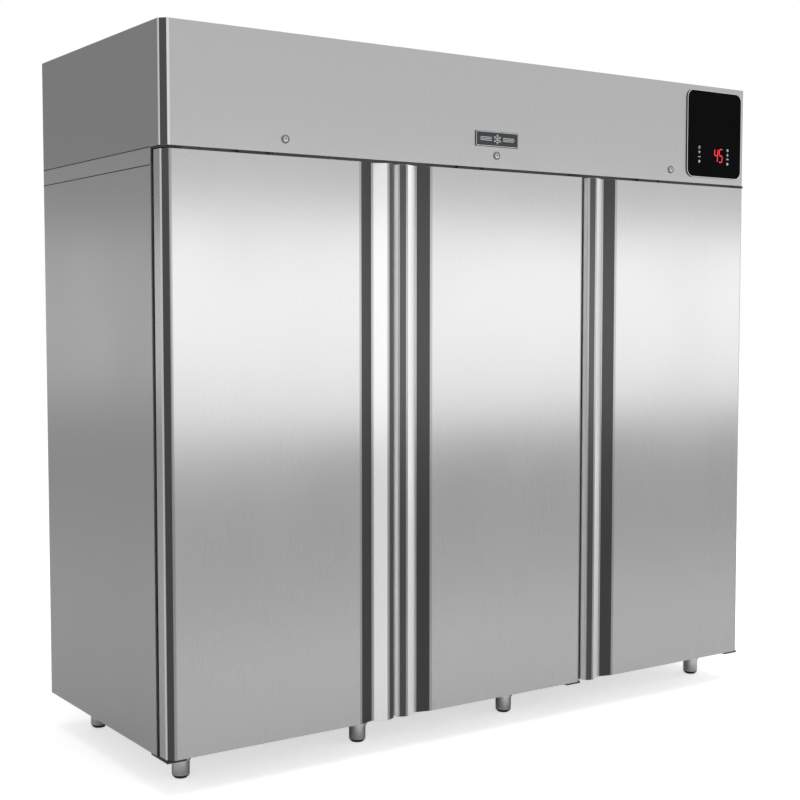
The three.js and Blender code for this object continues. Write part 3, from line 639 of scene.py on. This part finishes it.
refined("header_surround", HEADER_LOOKS, bend=3.6, edge=0.3, pick=header_look,
        fold_look=HEADER_LOOKS.index("fold"), cuts=[x + d for x in LOCK_X for d in (-LOCK_PANEL, LOCK_PANEL)])
refined("outer_wrap", "side", bend=1.5, edge=0.3)
refined("front_frame", "stainless", edge=0.3)
refined("base_panel", "foot_steel", edge=0.4)
refined("top_pan", "side", edge=0.3)
refined("header_rear_panel", "side", edge=0.3)
refined("inner_liner", "inner", edge=0.4)
paint("cabinet_insulation", "foam")
for k in range(1, 4):
    refined(f"hinge_bottom_{k}", "black_plastic", edge=0.6)
    refined(f"hinge_top_{k}", "black_plastic", edge=0.6)
for name in ("left", "centre_left", "centre_right", "right"):
    refined(f"shelf_rack_{name}", "inner", edge=0.4)
refined("evaporator_housing", "inner", edge=0.6)
refined("condenser_shroud", "galvanised", edge=0.4)
refined("electrical_box", "galvanised", edge=0.5)
refined("evaporator_fan", "black_plastic", edge=0.5)
refined("condenser_fan", "aluminium", edge=0.4)

# ---------------------------------------------------------------- gaskets

GASKET_SECTION = ((2, 0), (18, 0), (18, 2), (15, 3.4), (18, 5.6), (14.6, 7.6), (18.6, 9.2), (19, 12.2),
                  (17.5, 12.8), (2.5, 12.8), (1, 12.2), (1.4, 9.2), (5.4, 7.6), (2, 5.6), (5, 3.4), (2, 2))


def build_gasket(node):
    lo, hi = mm_box(node)

    def build(bm):
        loops = []
        for inset, depth in GASKET_SECTION:
            x0, x1, z0, z1 = lo.x + inset, hi.x - inset, lo.z + inset, hi.z - inset
            y = lo.y + depth
            loops.append([bm.verts.new(c) for c in ((x0, y, z0), (x1, y, z0), (x1, y, z1), (x0, y, z1))])
        for a, b in zip(loops, loops[1:] + loops[:1]):
            for i in range(4):
                j = (i + 1) % 4
                bm.faces.new((a[i], a[j], b[j], b[i]))
    return build


for i in range(1, 4):
    node = f"door_{i}_gasket"
    piece(f"door_{i}_gasket_bellows", build_gasket(node), "gasket", f"door_{i}", [node],
          edge=0.5, segments=2)

# ---------------------------------------------------------------- feet

FOOT_TIP = ((0, 0), (15.5, 0), (17.6, 0.8), (19.6, 3.4), (22.3, 5.6), (23, 7.4), (23, 9.2), (0, 9.2))
FOOT_TUBE = ((0, 9.2), (23.6, 9.2), (24.5, 10.1), (24.5, 17), (23.9, 17.6), (23.9, 19.4), (24.5, 20),
             (24.5, 96.6), (23.4, 98), (0, 98))
FOOT_STEM = tuple((r, 98 + 2.1 * k + dz) for k in range(20) for r, dz in ((7.9, 0.2), (6.9, 1.2)))


def build_leg(node):
    lo, hi = mm_box(node)
    place = Matrix.Translation(((lo.x + hi.x) / 2, (lo.y + hi.y) / 2, lo.z))

    def build(bm):
        add_lathe(bm, FOOT_TUBE, place, 48, 0)
        add_lathe(bm, FOOT_TIP, place, 48, 1)
        add_lathe(bm, ((0, 97), *FOOT_STEM, (0, hi.z - lo.z)), place, 24, 2)
    return build


for k in range(1, 9):
    piece(f"leg_{k}_turned", build_leg(f"leg_{k}"), ("foot_steel", "foot", "rim"), f"adjustable_leg_{k}",
          [f"leg_{k}"])

# ---------------------------------------------------------------- wire shelves

RIM_ROD, CROSS_ROD, THIN_WIRE = 3.2, 2.6, 1.5
WIRE_PITCH = 22


def build_shelf(node):
    lo, hi = mm_box(node)
    top = hi.z
    x0, x1, y0, y1 = lo.x + RIM_ROD, hi.x - RIM_ROD, lo.y + RIM_ROD, hi.y - RIM_ROD

    def build(bm):
        z = lo.z + RIM_ROD
        corner = 14
        loop = [(x, y, z) for x, y in rounded_outline(x0, x1, y0, y1, corner, 5)]
        add_tube(bm, loop, RIM_ROD, 8, closed=True)
        for share in (0.2, 0.5, 0.8):
            y = y0 + (y1 - y0) * share
            add_tube(bm, [(x0, y, lo.z + CROSS_ROD), (x1, y, lo.z + CROSS_ROD)], CROSS_ROD, 8)
        count = round((x1 - x0) / WIRE_PITCH)
        for i in range(1, count):
            x = x0 + (x1 - x0) * i / count
            level = top - THIN_WIRE
            path = [(x, y0, z), (x, y0 + 5, level), (x, y1 - 5, level), (x, y1, z)]
            add_tube(bm, path, THIN_WIRE, 6)
    return build


for section in range(1, 4):
    for row in range(1, 4):
        node = f"shelf_{section}_{row}"
        piece(f"{node}_wires", build_shelf(node), "wire", "cabinet", [node], smooth=50)

# ---------------------------------------------------------------- coils

FIN_PITCH, FIN_THICK, COIL_TUBE = 4.2, 0.35, 4.8


def build_coil(node, rows, layers):
    """Fins across x, with copper tubes that turn back at each end."""
    lo, hi = mm_box(node)
    turn = 13

    def build(bm):
        x0, x1 = lo.x + turn, hi.x - turn
        count = int((x1 - x0) / FIN_PITCH)
        for i in range(count + 1):
            x = x0 + (x1 - x0) * i / count
            thick = 1.4 if i in (0, count) else FIN_THICK
            add_box(bm, (x - thick / 2, lo.y, lo.z), (x + thick / 2, hi.y, hi.z), 0)
        step_y, step_z = (hi.y - lo.y) / rows, (hi.z - lo.z) / layers
        for r in range(rows):
            y = lo.y + step_y * (r + 0.5)
            for k in range(layers):
                z = lo.z + step_z * (k + 0.5)
                add_tube(bm, [(x0 - 3, y, z), (x1 + 3, y, z)], COIL_TUBE, 10, 1)
            for k in range(layers - 1):
                z, reach = lo.z + step_z * (k + 0.5), turn - COIL_TUBE
                side = 1 if (k + r) % 2 else -1
                end = x1 + 3 if side > 0 else x0 - 3
                bend = [(end + side * (reach - 3) * math.sin(a), y, z + step_z * (1 - math.cos(a)) / 2)
                        for a in (math.pi * t / 8 for t in range(9))]
                add_tube(bm, bend, COIL_TUBE, 10, 1)
    return build


piece("evaporator_coil_fins", build_coil("evaporator_coil", 3, 4), ("aluminium", "copper"), "cabinet",
      ["evaporator_coil"], smooth=40)
piece("condenser_coil_fins", build_coil("condenser_coil", 2, 9), ("aluminium", "copper"), "cabinet",
      ["condenser_coil"], smooth=40)


def build_guard(centre, radii, normal, wire):
    """Concentric wire rings with radial wires."""
    place = facing(centre, normal)

    def build(bm):
        for r in radii:
            ring = [place @ Vector((r * math.cos(a), r * math.sin(a), 0))
                    for a in (2 * math.pi * i / 48 for i in range(48))]
            add_tube(bm, ring, wire, 6, closed=True)
        for i in range(8):
            a = 2 * math.pi * i / 8
            inner, outer = radii[0], radii[-1]
            ends = [place @ Vector((r * math.cos(a), r * math.sin(a), wire * 1.6))
                    for r in (inner, outer)]
            add_tube(bm, ends, wire, 6)
    return build


EVAP_LO, EVAP_HI = mm_box("evaporator_fan")
EVAP_AXIS = (EVAP_LO + EVAP_HI) / 2
HOUSING_LO, HOUSING_HI = mm_box("evaporator_housing")
GUARD_RINGS = (18, 32, 46, 60, 74, 88, 100)
GUARD_CENTRE = (EVAP_AXIS.x, EVAP_AXIS.y, HOUSING_LO.z - 2.2)
piece("evaporator_fan_guard", build_guard(GUARD_CENTRE, GUARD_RINGS, (0, 0, -1), 1.3), "wire", "cabinet",
      smooth=50)

# ---------------------------------------------------------------- compressor and pipes

CAN = ((0, 14), (60, 14), (72, 17), (82, 24), (87, 36), (88, 50), (88, 94), (89.5, 97.5), (92.6, 98.6),
       (92.6, 108), (89.5, 109.4), (88, 113), (88, 138), (86, 152), (80, 168), (69, 182), (52, 193),
       (30, 200), (12, 203), (0, 204))


def build_compressor(bm):
    lo, hi = mm_box("compressor")
    mid = (lo + hi) / 2
    place = Matrix.Translation((mid.x, mid.y, lo.z))
    add_lathe(bm, CAN, place, 56, 0)
    plate = rounded_outline(lo.x, hi.x, lo.y + 24, hi.y - 24, 16)
    add_prism(bm, plate, lo.z + 9, lo.z + 12, "z", 0)
    for sx in (-1, 1):
        for sy in (-1, 1):
            foot = Matrix.Translation((mid.x + sx * 97, mid.y + sy * 53, lo.z))
            add_lathe(bm, ((0, 0), (11, 0), (12, 2), (8.5, 4), (12, 6), (11, 9), (0, 9)), foot, 20, 1)
            add_lathe(bm, ((0, 12), (9, 12), (9, 13.4), (5.6, 13.6), (5.6, 19), (0, 19)), foot, 6, 2)
    box = rounded_outline(mid.x - 92 - 24, mid.x - 74, lo.z + 58, lo.z + 122, 6)
    add_prism(bm, box, mid.y - 26, mid.y + 26, "y", 1)


piece("compressor_can", build_compressor, ("black_paint", "black_plastic", "rim"), "cabinet",
      ["compressor"], edge=0.8, segments=2)

COIL_LO, COIL_HI = mm_box("condenser_coil")
CAN_LO, CAN_HI = mm_box("compressor")
CAN_MID = (CAN_LO + CAN_HI) / 2
DECK = CAN_LO.z


def pipes(bm):
    side = COIL_HI.x + 16
    discharge = [(CAN_MID.x + 70, CAN_MID.y + 20, DECK + 130), (CAN_MID.x + 118, CAN_MID.y + 20, DECK + 130),
                 (CAN_MID.x + 118, CAN_MID.y + 20, DECK + 205), (side + 8, CAN_MID.y - 120, DECK + 205),
                 (side + 8, COIL_LO.y + 15, DECK + 205), (COIL_HI.x - 8, COIL_LO.y + 15, DECK + 205)]
    liquid = [(COIL_HI.x - 8, COIL_LO.y + 45, DECK + 16), (side, COIL_LO.y + 45, DECK + 16),
              (side, COIL_HI.y + 120, DECK + 16), (140, COIL_HI.y + 140, DECK + 16), (95, 60, DECK + 16),
              (40, 60, DECK + 16)]
    capillary = [(-62, 60, DECK + 16), (-66, 60, DECK + 16), (-66, 330, DECK + 16), (0, 340, DECK + 16),
                 (0, 340, DECK - 8)]
    add_tube(bm, rounded_path(discharge, 26), 4.8, 12, 0)
    add_tube(bm, rounded_path(liquid, 22), 4.0, 12, 0)
    add_tube(bm, rounded_path(capillary, 14), 1.8, 8, 0)
    drier = facing((40, 60, DECK + 16), (-1, 0, 0))
    add_lathe(bm, ((0, 0), (4.6, 0), (5, 8), (12.5, 18), (14, 24), (14, 78), (12.5, 84), (5, 94), (3, 102),
                   (0, 102)), drier, 28, 0)


piece("refrigerant_pipes", pipes, "copper", "cabinet", smooth=40)


def suction(bm):
    path = [(CAN_MID.x - 60, CAN_MID.y + 40, DECK + 60), (CAN_MID.x - 150, CAN_MID.y + 60, DECK + 60),
            (60, 330, DECK + 52), (30, 352, DECK + 46), (30, 352, DECK - 8)]
    add_tube(bm, rounded_path(path, 30), 11, 16, 0)


piece("suction_pipe_insulated", suction, "insulation", "cabinet", smooth=50)

# ---------------------------------------------------------------- locks

LOCK_BARREL = ((0, -28), (9.4, -28), (9.4, -2.6), (0, -2.6))
LOCK_COLLAR = ((8, -2.6), (12, -2.6), (12, 1.2), (11.4, 2.2), (10.2, 2.7), (8.6, 2.4), (8.2, 1.4),
               (8, 1.4))
LOCK_PLUG = ((0, -2.6), (7.8, -2.6), (7.8, 1.6), (7.4, 2.3), (6.9, 2.5), (0, 2.5))
LOCK_NUT = ((0, 0), (8.4, 0), (8.4, 3.6), (7.6, 4.2), (0, 4.2))
CAM_REACH, CAM_HALF, CAM_THICK = 60, 6, 3


def build_lock(node):
    lo, hi = mm_box(node)
    x = lo.x + 12
    z = (lo.z + hi.z) / 2
    front = facing((x, FACE_Y - 0.3, z), (0, -1, 0))
    cam_y = FACE_Y + 26

    def build(bm):
        add_lathe(bm, LOCK_BARREL, front, 32, 0)
        add_lathe(bm, LOCK_COLLAR, front, 48, 2)
        add_lathe(bm, LOCK_PLUG, front, 48, 0)
        add_box(bm, (x - 1.0, FACE_Y - 2.95, z - 4.6), (x + 1.0, FACE_Y - 2.6, z + 4.6), 1)
        add_lathe(bm, LOCK_NUT, facing((x, cam_y - 1.2, z), (0, -1, 0)), 6, 0)
        tip = [(x + CAM_REACH - CAM_HALF + CAM_HALF * math.cos(a), z + CAM_HALF * math.sin(a))
               for a in (-math.pi / 2 + math.pi * t / 8 for t in range(9))]
        add_prism(bm, [(x, z - CAM_HALF), *tip, (x, z + CAM_HALF)], cam_y, cam_y + CAM_THICK, "y", 0)
    return build


for k in range(1, 4):
    node = f"door_lock_{k}"
    piece(f"{node}_cylinder", build_lock(node), ("chrome", "black_plastic", "collar"), f"lock_{k}",
          [node], edge=0.25, segments=2)

# ---------------------------------------------------------------- badge

BADGE_LO, BADGE_HI = mm_box("badge_plate")


def ring_of(outline, inner, y0, y1):
    """A flat frame between two outlines of equal length, in front view."""
    def build(bm):
        loops = [[bm.verts.new((u, y, v)) for u, v in line]
                 for line, y in ((outline, y0), (inner, y0), (inner, y1), (outline, y1))]
        n = len(outline)
        for a, b in zip(loops, loops[1:] + loops[:1]):
            for i in range(n):
                j = (i + 1) % n
                bm.faces.new((a[i], a[j], b[j], b[i]))
    return build


def front_frame(lo, hi, radius, inset, band, y0, y1):
    """A rounded frame inside a box, band wide, seen from the front."""
    def outline(d, r):
        return rounded_outline(lo.x + d, hi.x - d, lo.z + d, hi.z - d, r)
    inner = inset + band
    return ring_of(outline(inset, radius - inset), outline(inner, max(0.6, radius - inner)), y0, y1)


refined("badge_plate", "badge", edge=0.6)
BADGE_FRONT = BADGE_LO.y
piece("badge_border",
      front_frame(BADGE_LO, BADGE_HI, 4.5, 1.6, 1.5, BADGE_FRONT - 0.7, BADGE_FRONT + 0.2),
      "rim", "cabinet", edge=0.2, segments=2)


def snowflake(cx, cz, reach, bar, y0, y1):
    """Six arms with short side branches."""
    def build(bm):
        for k in range(6):
            a = math.pi / 3 * k + math.pi / 6
            ahead = Vector((math.cos(a), math.sin(a)))
            across = Vector((-ahead.y, ahead.x))
            centre = Vector((cx, cz))

            def strip(start, end, half):
                way = (end - start).normalized()
                side = Vector((-way.y, way.x)) * half
                corners = (start - side, end - side, end + side, start + side)
                add_prism(bm, [(c.x, c.y) for c in corners], y0, y1, "y")

            strip(centre + ahead * bar * 0.9, centre + ahead * reach, bar / 2)
            for share, length in ((0.52, 0.30), (0.76, 0.20)):
                root = centre + ahead * reach * share
                for sign in (-1, 1):
                    way = (ahead + across * sign * 1.4).normalized()
                    strip(root, root + way * reach * length, bar * 0.38)
    return build


def badge_mark(bm):
    mid_x, mid_z = (BADGE_LO.x + BADGE_HI.x) / 2, (BADGE_LO.z + BADGE_HI.z) / 2
    y0, y1 = BADGE_FRONT - 0.6, BADGE_FRONT + 0.2
    snowflake(mid_x, mid_z, 14.5, 1.9, y0, y1)(bm)
    for side in (-1, 1):
        for level, reach in ((4.5, 62), (0, 66), (-4.5, 62)):
            low, high = sorted((mid_x + side * 21, mid_x + side * reach))
            z = mid_z + level
            add_prism(bm, rounded_outline(low, high, z - 0.8, z + 0.8, 0.7, 3), y0, y1, "y")


piece("badge_snowflake", badge_mark, "rim", "cabinet")

# ---------------------------------------------------------------- control panel

PANEL_LO, PANEL_HI = mm_box("control_panel")
PANEL_FRONT = PANEL_LO.y
refined("control_panel", "black_gloss", edge=0.7)
PANEL_RADIUS = 27
piece("control_panel_rim",
      front_frame(PANEL_LO, PANEL_HI, PANEL_RADIUS, 0.4, 2.2, PANEL_FRONT - 0.8, PANEL_FRONT + 0.4),
      "rim", "cabinet", edge=0.3, segments=2)

SEGMENTS = {"4": "bcfg", "5": "acdfg"}
DIGIT_W, DIGIT_H, DIGIT_BAR, DIGIT_SLANT = 15, 42, 3.4, 0.09
DIGIT_PITCH, DIGIT_X, DIGIT_Z = 22, 913, 1763


def digit(bm, figure, x0, z0, y0, y1):
    """A seven-segment figure."""
    w, h, t = DIGIT_W, DIGIT_H, DIGIT_BAR
    half = h / 2
    spans = {"a": ((0, h), (w, h)), "g": ((0, half), (w, half)), "d": ((0, 0), (w, 0)),
             "f": ((0, half), (0, h)), "b": ((w, half), (w, h)), "c": ((w, 0), (w, half))}
    for key in SEGMENTS[figure]:
        start, end = (Vector(v) for v in spans[key])
        way = (end - start).normalized()
        side = Vector((-way.y, way.x)) * t / 2
        a, b = start + way * 0.8, end - way * 0.8
        tip = way * t / 2
        outline = (a, a + tip - side, b - tip - side, b, b - tip + side, a + tip + side)
        add_prism(bm, [(x0 + c.x + c.y * DIGIT_SLANT, z0 + c.y) for c in outline], y0, y1, "y")


def build_digits(bm):
    for k, figure in enumerate("45"):
        digit(bm, figure, DIGIT_X + k * DIGIT_PITCH, DIGIT_Z, PANEL_FRONT - 0.35, PANEL_FRONT + 0.2)


piece("display_digits", build_digits, "digit", "cabinet")


ICON_COLUMNS = ((844, (1806, 1791, 1776, 1761)), (977, (1804, 1789, 1774, 1759)))


def arrow(bm, x, z, up, y0, y1):
    add_prism(bm, [(x - 5.2, z - 3.2 * up), (x + 5.2, z - 3.2 * up), (x, z + 5 * up)], y0, y1, "y")


def dash(bm, x, z, half, y0, y1):
    add_prism(bm, rounded_outline(x - half, x + half, z - 1.4, z + 1.4, 1, 3), y0, y1, "y")


def dot(bm, x, z, y0, y1):
    turns = (2 * math.pi * i / 24 for i in range(24))
    add_prism(bm, [(x + 4.6 * math.cos(a), z + 4.6 * math.sin(a)) for a in turns], y0, y1, "y")


def build_icons(bm):
    """Two columns of generic symbols: snowflake or dot, arrow, dash, dot."""
    y0, y1 = PANEL_FRONT - 0.3, PANEL_FRONT + 0.2
    for column, (x, levels) in enumerate(ICON_COLUMNS):
        if column == 0:
            snowflake(x, levels[0], 6.2, 1.3, y0, y1)(bm)
        else:
            dot(bm, x, levels[0], y0, y1)
            add_prism(bm, rounded_outline(x - 1.4, x + 1.4, levels[2] + 2, levels[2] + 5, 1, 3), y0, y1, "y")
        arrow(bm, x, levels[1], 1 if column else -1, y0, y1)
        dash(bm, x, levels[2], 6, y0, y1)
        dot(bm, x, levels[3], y0, y1)


piece("display_icons", build_icons, "icon", "cabinet")

# ---------------------------------------------------------------- door switches and screws

DOOR_TOP, HEADER_LOW = DOOR_Z[1], HEADER_Z[0]


def build_switches(bm):
    for left in DOOR_LEFT:
        x = left + DOOR_W / 2 - SWITCH_OFFSET
        add_prism(bm, rounded_outline(x - 40, x + 40, FACE_Y + 2.4, FACE_Y + 15, 2.5), DOOR_TOP + 1.4,
                  HEADER_LOW + 1.2, "z", 0)
        knob = Matrix.Translation((x + 56, FACE_Y + 8, DOOR_TOP + 2.2))
        add_lathe(bm, ((0, 0), (3.6, 0.2), (5, 1.2), (5, 9), (0, 9)), knob, 20, 0)


SEAM_HALF, SEAM_PROUD, SEAM_DEEP = 1.3, 0.25, 0.9
SEAL_REACH = 1052


def rectangle(x0, x1, y0, y1):
    return [(x0, y0), (x1, y0), (x1, y1), (x0, y1)]


def build_seams(bm):
    """Dark sealant in the joints under the header and under the top pan, also standing in for the shadow in
    the seam gaps: partly painted shadow.
    """
    half = WIDTH / 2
    lo, hi = mm_box("top_pan")
    for z in (HEADER_LOW - 0.15, lo.z - 0.1):
        for x in (-half - SEAM_PROUD, half - SEAM_DEEP):
            side = rectangle(x, x + SEAM_PROUD + SEAM_DEEP, lo.y + 2, hi.y)
            add_prism(bm, side, z - SEAM_HALF, z + SEAM_HALF, "z")
        back = rectangle(-half, half, hi.y - SEAM_DEEP, hi.y + SEAM_PROUD)
        add_prism(bm, back, z - SEAM_HALF, z + SEAM_HALF, "z")


piece("seam_sealant_and_painted_shadow", build_seams, "gasket", "cabinet")


def build_seal(bm):
    """The strip that closes the gap between the header and the doors."""
    add_prism(bm, rectangle(-SEAL_REACH, SEAL_REACH, FACE_Y + 18, FACE_Y + 24), DOOR_TOP + 1.6,
              HEADER_LOW + 0.8, "z")


piece("header_seal_strip", build_seal, "seal", "cabinet", edge=0.8, segments=2)
piece("door_switches", build_switches, "black_plastic", "cabinet", edge=0.5, segments=2)

SCREW = ((0, -1.5), (3.4, -1.5), (3.8, 0), (3.8, 0.6), (3.1, 1.5), (1.8, 2.0), (0, 2.1))
SCREW_SLOT = ((-2.3, -0.35, 1.2), (2.3, 0.35, 2.14))


def screws(places, direction):
    def build(bm):
        for place in places:
            at = facing(place, direction)
            add_lathe(bm, SCREW, at, 16, 0)
            for turn in (0, math.pi / 2):
                add_box(bm, SCREW_SLOT[0], SCREW_SLOT[1], 1, at @ Matrix.Rotation(turn, 4, "Z"))
    return build


# screw heads in bright metal, their slots in the near-black painted-shade steel
SCREW_LOOKS = ("rim", "recess_painted_shade")
REAR_LO, REAR_HI = mm_box("header_rear_panel")
REAR_XS = [REAR_LO.x + 14 + (REAR_HI.x - REAR_LO.x - 28) * k / 6 for k in range(7)]
REAR_SCREWS = [(x, REAR_HI.y, z) for x in REAR_XS for z in (REAR_LO.z + 9, REAR_HI.z - 9)]
piece("rear_panel_screws", screws(REAR_SCREWS, (0, 1, 0)), SCREW_LOOKS, "cabinet")
BOX_LO, BOX_HI = mm_box("electrical_box")
BOX_SCREWS = [(x, y, BOX_HI.z) for x in (BOX_LO.x + 14, BOX_HI.x - 14) for y in (74, 286)]
piece("electrical_box_screws", screws(BOX_SCREWS, (0, 0, 1)), SCREW_LOOKS, "cabinet")
HINGE_CORNERS = [mm_box(f"hinge_bottom_{k}")[0] for k in range(1, 4)]
HINGE_SCREWS = [(lo.x + dx, lo.y + dy, lo.z) for lo in HINGE_CORNERS for dx in (14, 42) for dy in (62, 86)]
piece("hinge_screws", screws(HINGE_SCREWS, (0, 0, -1)), SCREW_LOOKS, "cabinet")
HOUSING_SCREWS = [(x, y, HOUSING_LO.z) for x in (-310, -150, 150, 310)
                  for y in (HOUSING_LO.y + 16, HOUSING_HI.y - 16)]
piece("evaporator_screws", screws(HOUSING_SCREWS, (0, 0, -1)), SCREW_LOOKS, "cabinet")
